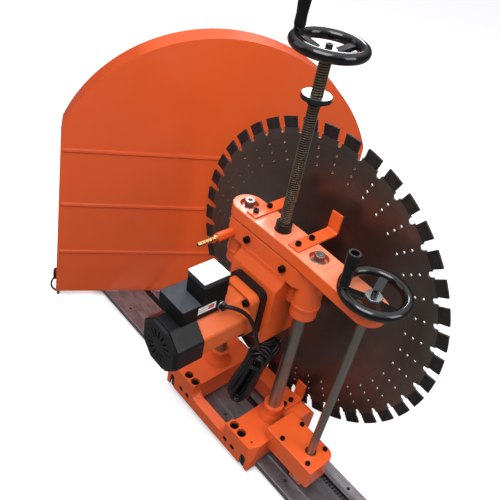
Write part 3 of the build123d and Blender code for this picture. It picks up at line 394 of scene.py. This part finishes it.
def hub_washer(name, centre_x, centre_y):
    # black screw in the middle, bright washer round it
    mat = Shader(name)
    x, y, _ = mat.split(mat.coords)
    distance = mat.radius(mat.math("SUBTRACT", x, centre_x), mat.math("SUBTRACT", y, centre_y))
    washer = mat.above(distance, edge=0.0070)
    grain = mat.noise(scale=600, detail=3)
    bright = mat.mix(mat.remap(grain, span=(0.3, 0.7), to=(0, 0.5)),
                     (0.50, 0.51, 0.53), over=(0.30, 0.30, 0.32))
    mat.finish(Base_Color=mat.mix(washer, (0.014, 0.014, 0.015), over=bright),
               Metallic=mat.remap(washer, to=(0.5, 1.0)),
               Roughness=mat.remap(mat.noise(scale=50), to=(0.18, 0.32)),
               Normal=mat.bump(grain, distance=0.0002, strength=0.12,
                               normal=mat.bevel(0.0008)))


def thread_steel():
    # dark oiled steel with brassy highlights on the crests
    mat = Shader("thread_steel")
    x, y, _ = mat.split(mat.coords)
    crest = mat.above(mat.radius(x, y), edge=0.0116, width=0.0003)
    grain = mat.noise(scale=700, rough=0.7)
    tone = mat.mix(crest, (0.13, 0.108, 0.083), over=(0.34, 0.28, 0.20))
    tone = mat.mix(mat.remap(grain, span=(0.4, 0.75), to=(0.0, 0.6)), tone,
                   over=(0.10, 0.085, 0.07))
    oil = mat.remap(mat.noise(scale=22), span=(0.45, 0.75), to=(0.0, 0.5))
    tone = mat.mix(oil, tone, over=(0.035, 0.03, 0.027))
    mat.finish(Base_Color=tone, Metallic=0.95, Roughness=mat.remap(grain, to=(0.24, 0.42)),
               Normal=mat.bump(grain, distance=0.0002, strength=0.2,
                               normal=mat.bevel(0.0003)))


def blade_core():
    # dark, turned and heat tinted; the lines run round the arbor
    mat = Shader("blade_core")
    x, _, z = mat.split(mat.mapped("Location", (0, 0, -BLADE_Z)))
    distance = mat.radius(x, z)
    angle = mat.math("ARCTAN2", z, x)
    polar = mat.combine(mat.product(distance, 1100.0), mat.product(angle, 1.6))
    rings = mat.noise(scale=1.0, detail=3, rough=0.6, vector=polar)
    tone = mat.mix(mat.remap(rings, span=(0.3, 0.7)),
                   (0.112, 0.100, 0.090), over=(0.158, 0.142, 0.130))
    tint = mat.remap(mat.noise(scale=5, rough=0.6), span=(0.42, 0.72), to=(0.0, 0.6))
    tone = mat.mix(tint, tone, over=(0.092, 0.066, 0.060))
    tone = mat.mix(mat.product(mat.edge(radius=0.0006), 0.6), tone, over=(0.50, 0.42, 0.36))
    tone = mat.mix(mat.remap(distance, span=(0.340, 0.374), to=(0.0, 0.40)), tone,
                   over=(0.150, 0.150, 0.135))
    tangent = mat.node("ShaderNodeTangent", direction_type="RADIAL", axis="Y")
    mat.finish(Base_Color=tone, Metallic=0.88,
               Roughness=mat.remap(mat.noise(scale=14), to=(0.30, 0.42)),
               Anisotropic=0.65, Tangent=tangent.outputs[0],
               Normal=mat.bump(rings, distance=0.0002, strength=0.20,
                               normal=mat.bevel(0.0006)))


def diamond_segment():
    # near-black matrix with pale grit
    mat = Shader("diamond_segment")
    grit = mat.noise(scale=1500, detail=2, rough=0.8)
    tone = mat.mix(mat.remap(mat.noise(scale=60, detail=5), span=(0.35, 0.65)),
                   (0.006, 0.006, 0.0065), over=(0.020, 0.019, 0.019))
    tone = mat.mix(mat.threshold(grit, start=0.68, end=0.74), tone, over=(0.12, 0.11, 0.09))
    mat.finish(Base_Color=tone, Metallic=0.2, Roughness=0.55,
               Normal=mat.bump(grit, distance=0.0004, strength=0.6,
                               normal=mat.bevel(0.0008)))


def sticker():
    # white with a red block and grey lines; across and up run from 0 to 1 over the sticker
    mat = Shader("sticker")
    _, y, z = mat.split(mat.coords)
    across = mat.product(mat.math("ADD", y, -STICKER_Y), 1 / STICKER_WIDTH)
    up = mat.product(mat.math("SUBTRACT", z, STICKER_Z), 1 / STICKER_HEIGHT)
    block = mat.product(mat.band(across, low=0.56, high=0.90, width=0.01),
                        mat.band(up, low=0.25, high=0.78, width=0.02))
    wave = mat.math("SINE", mat.product(up, 22.0))
    lines = mat.product(mat.above(wave, edge=0.25, width=0.1),
                        mat.below(across, edge=0.50, width=0.01),
                        mat.above(across, edge=0.06, width=0.01))
    tone = mat.mix(mat.product(lines, 0.6), (0.82, 0.80, 0.80), over=(0.25, 0.25, 0.27))
    tone = mat.mix(block, tone, over=(0.60, 0.03, 0.04))
    dirt = mat.remap(mat.noise(scale=90), span=(0.4, 0.7), to=(0.0, 0.15))
    mat.finish(Base_Color=mat.mix(dirt, tone, over=(0.6, 0.58, 0.55)),
               Roughness=mat.remap(mat.noise(scale=60, detail=3), to=(0.3, 0.45)),
               Coat_Weight=0.2)


rail_steel()
turned_disc()
white_lid()
hub_washer("hub_washer_top", 0.0, 0.0)
hub_washer("hub_washer_travel", *TRAVEL_HUB)
thread_steel()
blade_core()
diamond_segment()
sticker()

# material: the CAD pieces that wear it
PIECES = {
    "orange_cast": "carriage_casting",
    "orange_plate": "guard_brackets gear_housing",
    "orange_head_casting": "head_casting",
    "orange_top_plate": "top_plate",
    "orange_sheet": "guard_shell",
    "orange_motor": "motor_adapter motor_frame",
    "rack_steel": "rail_rack",
    "ground_shaft": "guide_columns travel_shaft",
    "bright_screw": "column_cap_bolts flange_bolts spindle_nut",
    "machined_steel": "roller_pins cross_shaft_bearings cross_shaft cross_bevel rack_pinion "
                      "travel_bevel screw_retainer head_bearings motor_rotor counter_gear "
                      "output_gear spindle",
    "black_oxide": "carriage_cap_screws small_screws head_screws",
    "brass": "hose_barb",
    "bronze": "travel_bushes head_bushes",
    "stator_iron": "motor_stator",
    "black_gloss": "travel_handwheel top_handwheel",
    "grip_black": "travel_grip top_grip",
    "black_moulded": "terminal_box switch_box motor_fan",
    "black_paint": "lead_nut gearbox_cover_plate motor_fan_cover blade_flanges",
    "black_rubber": "guard_strap roller_near_left roller_near_right roller_far_left "
                    "roller_far_right",
    "cable_sheath": "power_cable",
    "green_button": "start_button",
    "red_button": "stop_button",
    "rail_steel": "rail_track",
    "turned_disc": "depth_stop_disc",
    "white_lid": "switch_lid",
    "hub_washer_top": "top_hub_screw",
    "hub_washer_travel": "travel_hub_screw",
    "thread_steel": "lead_screw",
    "blade_core": "blade_core",
    "diamond_segment": "blade_segments",
}
PIECE_MATERIAL = {piece: name for name, pieces in PIECES.items() for piece in pieces.split()}
for piece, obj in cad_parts.items():
    obj.data.materials.clear()
    obj.data.materials.append(MATERIALS[PIECE_MATERIAL[piece]])


# ------------------------------------------------------------------ mesh helpers
# A part is a pair: a list of vertices and a list of faces.
def mesh_object(name, part, material, smooth=True):
    verts, faces = part
    mesh = bpy.data.meshes.new(name)
    mesh.from_pydata([tuple(v) for v in verts], [], [tuple(f) for f in faces])
    mesh.validate()
    mesh.update()
    if smooth:
        for polygon in mesh.polygons:
            polygon.use_smooth = True
    obj = bpy.data.objects.new(name, mesh)
    bpy.context.scene.collection.objects.link(obj)
    mesh.materials.append(MATERIALS[material])
    return obj


def join(parts):
    verts, faces = [], []
    for part_verts, part_faces in parts:
        offset = len(verts)
        verts += list(part_verts)
        faces += [tuple(i + offset for i in face) for face in part_faces]
    return verts, faces


def tube(points, radius, segments, closed=False):
    # swept along the points with parallel-transport frames; an open tube has capped ends
    path = [Vector(p) for p in points]
    count = len(path)
    tangents = []
    for i in range(count):
        before = path[(i - 1) % count] if (closed or i > 0) else path[0]
        after = path[(i + 1) % count] if (closed or i < count - 1) else path[-1]
        tangents.append((after - before).normalized())
    first = tangents[0]
    side = Vector((0, 0, 1)) if abs(first.z) < 0.9 else Vector((1, 0, 0))
    side = (side - first * side.dot(first)).normalized()
    frames = []
    for tangent in tangents:
        side = (side - tangent * side.dot(tangent)).normalized()
        frames.append((side.copy(), tangent.cross(side)))
    twist = 0.0
    if closed:
        # spread the mismatch at the join over the whole loop
        side = (side - first * side.dot(first)).normalized()
        twist = math.atan2(side.dot(frames[0][1]), side.dot(frames[0][0]))
    verts, faces = [], []
    for i, (u, v) in enumerate(frames):
        for k in range(segments):
            angle = 2 * math.pi * k / segments - twist * i / count
            verts.append(path[i] + u * (radius * math.cos(angle))
                         + v * (radius * math.sin(angle)))
    for i in range(count if closed else count - 1):
        this, following = i * segments, (i + 1) % count * segments
        for k in range(segments):
            m = (k + 1) % segments
            faces.append((this + k, this + m, following + m, following + k))
    if not closed:
        faces.append(tuple(range(segments))[::-1])
        faces.append(tuple((count - 1) * segments + k for k in range(segments)))
    return verts, faces


def spline_span(before, start, end, after, steps):
    # Catmull-Rom points from start up to, but not including, end
    return [0.5 * (2 * start + (end - before) * t
                   + (2 * before - 5 * start + 4 * end - after) * t * t
                   + (3 * start - before - 3 * end + after) * t ** 3)
            for t in (s / steps for s in range(steps))]


def open_spline(points, steps=10):
    p = [np.array(point, float) for point in points]
    p = [2 * p[0] - p[1]] + p + [2 * p[-1] - p[-2]]
    out = []
    for i in range(1, len(p) - 2):
        out += spline_span(p[i - 1], p[i], p[i + 1], p[i + 2], steps)
    return out + [p[-2]]


def closed_spline(points, steps=8):
    n = len(points)
    out = []
    for i in range(n):
        out += spline_span(points[i - 1], points[i], points[(i + 1) % n],
                           points[(i + 2) % n], steps)
    return out


def lathe(profile, segments):
    # profile rows are radius, z
    verts, faces = [], []
    for radius, z in profile:
        for k in range(segments):
            angle = 2 * math.pi * k / segments
            verts.append((radius * math.cos(angle), radius * math.sin(angle), z))
    for i in range(len(profile) - 1):
        low, high = i * segments, (i + 1) * segments
        for k in range(segments):
            m = (k + 1) % segments
            faces.append((low + k, low + m, high + m, high + k))
    return verts, faces


def lathe_x(profile, segments, y, z):
    # profile rows are radius, x; the faces are wound the other way from lathe()
    verts, faces = lathe(profile, segments)
    return ([(along, y + u, z + v) for u, v, along in verts],
            [(a, d, c, b) for a, b, c, d in faces])


# ------------------------------------------------------------------ lead screw
THREAD_BOTTOM, THREAD_TOP = 0.57706, 0.988
THREAD_PITCH = 0.005
CREST_RADIUS, ROOT_RADIUS = 0.012, 0.01035
COLLAR_RADIUS = 0.0119  # outer edge of the cone at each end of the thread
CONE_HEIGHT = 0.0006
SCREW_SEGMENTS = 36


def thread():
    # right-hand thread: one strip wound up from bottom to top; rows are part of pitch, radius
    profile = [(0.00, ROOT_RADIUS), (0.30, ROOT_RADIUS), (0.42, CREST_RADIUS),
               (0.78, CREST_RADIUS), (0.90, ROOT_RADIUS), (1.00, ROOT_RADIUS)]
    width = len(profile)
    turns = int((THREAD_TOP - THREAD_BOTTOM) / THREAD_PITCH) + 2
    steps = turns * SCREW_SEGMENTS
    verts, faces = [], []
    for s in range(steps + 1):
        angle = 2 * math.pi * s / SCREW_SEGMENTS
        base = THREAD_BOTTOM - THREAD_PITCH + THREAD_PITCH * s / SCREW_SEGMENTS
        for part, radius in profile:
            z = base + part * THREAD_PITCH
            if not THREAD_BOTTOM < z < THREAD_TOP:
                radius = ROOT_RADIUS
            verts.append((radius * math.cos(angle), radius * math.sin(angle),
                          min(max(z, THREAD_BOTTOM), THREAD_TOP)))
    for s in range(steps):
        this, following = s * width, (s + 1) * width
        for k in range(width - 1):
            faces.append((this + k, following + k, following + k + 1, this + k + 1))
    return verts, faces


# radius, z: lower journal, core under the thread, upper journal with a hollow end
SCREW_PROFILE = [
    (0.0001, 0.533), (0.008, 0.533), (0.008, THREAD_BOTTOM), (COLLAR_RADIUS, THREAD_BOTTOM),
    (ROOT_RADIUS, THREAD_BOTTOM + CONE_HEIGHT), (ROOT_RADIUS, THREAD_TOP - CONE_HEIGHT),
    (COLLAR_RADIUS, THREAD_TOP), (0.007, THREAD_TOP), (0.007, 1.0039), (0.0041, 1.0039),
    (0.0041, 0.990)]
screw = mesh_object("lead_screw_thread", join([thread(), lathe(SCREW_PROFILE, SCREW_SEGMENTS)]),
                    "thread_steel")
screw.modifiers.new("edges", "EDGE_SPLIT").split_angle = math.radians(28)
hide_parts("lead_screw")
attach(screw, "screw")

# ------------------------------------------------------------------ cable and its tied bundle
CABLE_RADIUS = 0.0042
BUNDLE_TOP = np.array([0.069, -0.049, 0.3205])
BUNDLE_BOTTOM = np.array([0.043, -0.077, 0.139])
BUNDLE_LENGTH = np.linalg.norm(BUNDLE_TOP - BUNDLE_BOTTOM)
BUNDLE_HALF = BUNDLE_LENGTH / 2
BUNDLE_CENTRE = (BUNDLE_TOP + BUNDLE_BOTTOM) / 2
# the bundle's own axes: up its length, across its loops and through them
BUNDLE_UP = (BUNDLE_TOP - BUNDLE_BOTTOM) / BUNDLE_LENGTH
BUNDLE_SIDE = np.array([0.8, 0.6, 0.0])
BUNDLE_SIDE = BUNDLE_SIDE - BUNDLE_UP * BUNDLE_SIDE.dot(BUNDLE_UP)
BUNDLE_SIDE /= np.linalg.norm(BUNDLE_SIDE)
BUNDLE_DEPTH = np.cross(BUNDLE_SIDE, BUNDLE_UP)

# depth offset, half width, then reach up and down as parts of the half length
LOOPS = [
    (-0.0260, 0.0170, 0.90, 0.93), (-0.0195, 0.0235, 0.97, 0.99), (-0.0130, 0.0275, 0.92, 1.0),
    (-0.0065, 0.0295, 1.0, 0.96), (0.0000, 0.0300, 0.94, 1.0), (0.0065, 0.0285, 1.0, 0.95),
    (0.0130, 0.0260, 0.90, 0.99), (0.0195, 0.0225, 0.97, 0.92), (0.0255, 0.0160, 0.88, 0.96),
    (-0.0030, 0.0200, 0.86, 0.90), (0.0050, 0.0180, 0.82, 0.93), (-0.0180, 0.0080, 0.90, 0.88),
    (-0.0110, 0.0140, 0.95, 0.93), (-0.0045, 0.0070, 0.92, 0.94), (0.0030, 0.0115, 0.98, 0.90),
    (0.0105, 0.0075, 0.93, 0.92), (0.0170, 0.0130, 0.86, 0.92), (-0.0150, 0.0200, 0.84, 0.90),
    (0.0120, 0.0185, 0.88, 0.87)]
# one loop's outline: side as a part of the half width, height as a part of the reach
LOOP_OUTLINE = [
    (1, 0.6), (0.95, 0.25), (0.9, -0.25), (0.95, -0.65), (0.75, -0.9), (0, -1.0),
    (-0.75, -0.9), (-0.95, -0.65), (-0.85, -0.25), (-0.9, 0.25), (-1, 0.6), (-0.8, 0.88),
    (0, 1.0), (0.8, 0.88)]


def bundle_point(side, up, depth):
    return BUNDLE_CENTRE + BUNDLE_SIDE * side + BUNDLE_UP * up + BUNDLE_DEPTH * depth


def bundle_loop(depth, half_width, reach_up, reach_down, seed):
    rng = np.random.default_rng(seed)
    points = []
    for side, up in LOOP_OUTLINE:
        reach = BUNDLE_HALF * (reach_up if up > 0 else reach_down)
        pinch = 1.0 - 0.35 * math.exp(-((up - 0.42) / 0.22) ** 2)  # narrowed near the ties
        points.append(bundle_point(side * half_width * pinch + rng.normal(0, 0.0014),
                                   up * reach * (1 + rng.normal(0, 0.012)),
                                   depth * pinch + rng.normal(0, 0.0017)))
    return tube(closed_spline(points), CABLE_RADIUS, 12, closed=True)


def loose_turn(seed):
    # an uneven ellipse near the top of the bundle
    rng = np.random.default_rng(seed)
    long_axis, short_axis = np.array([0.16, 0.97, 0.10]), np.array([-0.62, 0.10, 0.78])
    scatter = np.array([0.007, 0.006, 0.0035])
    centre = np.array([0.064, -0.031, 0.3020]) + rng.normal(0, 1, 3) * scatter
    half_long = 0.030 + 0.007 * rng.random()
    half_short = 0.009 + 0.013 * rng.random()
    short_axis = short_axis + long_axis * rng.normal(0, 0.12)
    points = []
    for j in range(10):
        angle = 2 * math.pi * j / 10
        points.append(centre + long_axis * (half_long * math.cos(angle))
                      + short_axis * (half_short * math.sin(angle))
                      + rng.normal(0, 0.0012, 3))
    return tube(closed_spline(points), CABLE_RADIUS, 12, closed=True)


def lead():
    # from the gland down into the bundle
    points = [
        (0.029, GLAND_Y, GLAND_Z), (0.040, -0.1795, 0.4995), (0.050, -0.164, 0.4965),
        (0.060, -0.140, 0.480), (0.069, -0.121, 0.455), (0.0785, -0.108, 0.420),
        (0.081, -0.097, 0.385), (0.083, -0.083, 0.350),
        bundle_point(0.014, 0.088, 0.018), bundle_point(0.016, 0.06, 0.020),
        bundle_point(0.013, 0.02, 0.0215), bundle_point(0.010, -0.03, 0.020)]
    return tube(open_spline(points), 0.0046, 14)


def cable_tie(up, half_side=0.021534, half_depth=0.022795):
    def squared(value):
        # fills the ring out towards a rounded square
        return math.copysign(abs(value) ** 0.75, value)

    ring = [bundle_point(half_side * squared(math.cos(a)), up, half_depth * squared(math.sin(a)))
            for a in np.linspace(0, 2 * math.pi, 40, endpoint=False)]
    return tube(ring, 0.0024, 8, closed=True)


cable_parts = [bundle_loop(*loop, seed=30 + k) for k, loop in enumerate(LOOPS)]
cable_parts += [loose_turn(seed=70 + k) for k in range(11)]
cable_parts.append(lead())
cable_parts += [cable_tie(up) for up in (0.039, 0.045)]
cable = mesh_object("power_cable_bundle", join(cable_parts), "cable_sheath")
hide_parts("power_cable")
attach(cable, "head")
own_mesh(cable)

# ------------------------------------------------------------------ gland at the terminal box
# radius, x
NUT_PROFILE = [(0.0092, 0.0352), (0.0092, 0.0372), (0.0100, 0.0376), (0.0100, 0.0420),
               (0.0085, 0.0440), (0.0052, 0.0445), (0.0048, 0.0430)]
RING_PROFILE = [(0.0091, 0.0331), (0.0106, 0.0331), (0.0106, 0.0350), (0.0091, 0.0350)]
gland_nut = mesh_object("cable_gland_nut", lathe_x(NUT_PROFILE, 6, GLAND_Y, GLAND_Z),
                        "black_moulded", smooth=False)
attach(gland_nut, "head")
gland_ring = mesh_object("cable_gland_ring", lathe_x(RING_PROFILE, 28, GLAND_Y, GLAND_Z),
                         "bright_screw")
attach(gland_ring, "head")

# ------------------------------------------------------------------ sticker on the terminal box
STICKER_CORNERS = [(STICKER_X, STICKER_Y + across * STICKER_WIDTH, STICKER_Z + up * STICKER_HEIGHT)
                   for across, up in ((0, 0), (1, 0), (1, 1), (0, 1))]
box_sticker = mesh_object("box_sticker", (STICKER_CORNERS, [(0, 1, 2, 3)]), "sticker",
                          smooth=False)
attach(box_sticker, "head")


# ------------------------------------------------------------------ stage, light, camera
def floor_white():
    # white and faintly glowing to the camera, dull grey to every other ray
    mat = Shader("floor_white")
    camera_ray = mat.node("ShaderNodeLightPath").outputs["Is Camera Ray"]
    white = mat.mix(mat.remap(mat.noise(scale=3, detail=3), to=(0, 0.02)),
                    (0.90, 0.90, 0.90), over=(0.87, 0.87, 0.87))
    mat.finish(Base_Color=mat.mix(camera_ray, (0.13, 0.126, 0.122), over=white),
               Roughness=0.8, Emission_Color=(1.0, 1.0, 1.0),
               Emission_Strength=mat.remap(camera_ray, to=(0.0, 0.16)))


def studio_world():
    # plain white to the camera; to every other ray dark below and bright overhead
    world = bpy.data.worlds.new("studio")
    bpy.context.scene.world = world
    world.use_nodes = True
    nodes, link = world.node_tree.nodes, world.node_tree.links.new
    # position from straight down (0) to straight up (1), brightness
    sky = [(0.0, 0.04), (0.50, 0.05), (0.60, 0.09), (0.72, 0.30), (0.84, 1.0), (1.0, 1.45)]
    direction = nodes.new("ShaderNodeTexCoord")
    split = nodes.new("ShaderNodeSeparateXYZ")
    link(direction.outputs["Generated"], split.inputs[0])
    ramp = nodes.new("ShaderNodeValToRGB")
    fill_ramp(ramp, [(position, (c, c, c * 1.02)) for position, c in sky])
    height = nodes.new("ShaderNodeMapRange")
    height.inputs["From Min"].default_value = -1
    height.inputs["From Max"].default_value = 1
    link(split.outputs["Z"], height.inputs["Value"])
    link(height.outputs["Result"], ramp.inputs["Fac"])
    light_path = nodes.new("ShaderNodeLightPath")
    mix = nodes.new("ShaderNodeMix")
    mix.data_type = "RGBA"
    link(light_path.outputs["Is Camera Ray"], mix.inputs[0])
    link(ramp.outputs["Color"], mix.inputs[6])
    mix.inputs[7].default_value = (1, 1, 1, 1)
    background = nodes["Background"]
    link(mix.outputs[2], background.inputs["Color"])
    background.inputs["Strength"].default_value = 1.0


def area_light(name, location, target, size, power):
    light = bpy.data.lights.new(name, "AREA")
    light.energy = power
    light.size = size
    obj = bpy.data.objects.new(name, light)
    bpy.context.scene.collection.objects.link(obj)
    obj.location = location
    aim = Vector(target) - Vector(location)
    obj.rotation_euler = aim.to_track_quat("-Z", "Y").to_euler()


def camera():
    data = bpy.data.cameras.new("camera")
    obj = bpy.data.objects.new("camera", data)
    bpy.context.scene.collection.objects.link(obj)
    right = (0.64955, 0.74163, 0.16752)
    up = (-0.55012, 0.30635, 0.77687)
    backward = (0.52483, -0.59677, 0.60697)
    turn = Matrix((right, up, backward)).transposed()
    obj.matrix_world = Matrix.Translation((0.6405, -0.8200, 1.3281)) @ turn.to_4x4()
    data.sensor_width = 36
    data.lens = 41.77
    data.clip_start = 0.01
    bpy.context.scene.camera = obj


bpy.ops.mesh.primitive_plane_add(size=16, location=(0, 0, -0.0302))
floor = bpy.context.object
floor.name = "floor"
floor_white()
floor.data.materials.append(MATERIALS["floor_white"])
studio_world()
area_light("key", (0.5, -1.3, 2.6), target=(0, 0, 0.3), size=1.5, power=50)
area_light("fill_left", (-2.2, -1.8, 1.8), target=(0, 0, 0.3), size=1.8, power=10)
area_light("rim_right", (2.2, 0.6, 1.9), target=(0, 0, 0.4), size=1.3, power=22)
area_light("sheen", (-1.92, 2.46, 2.77), target=(0, 0, 0.6), size=0.9, power=34)
camera()
bpy.context.scene.view_settings.view_transform = "Standard"
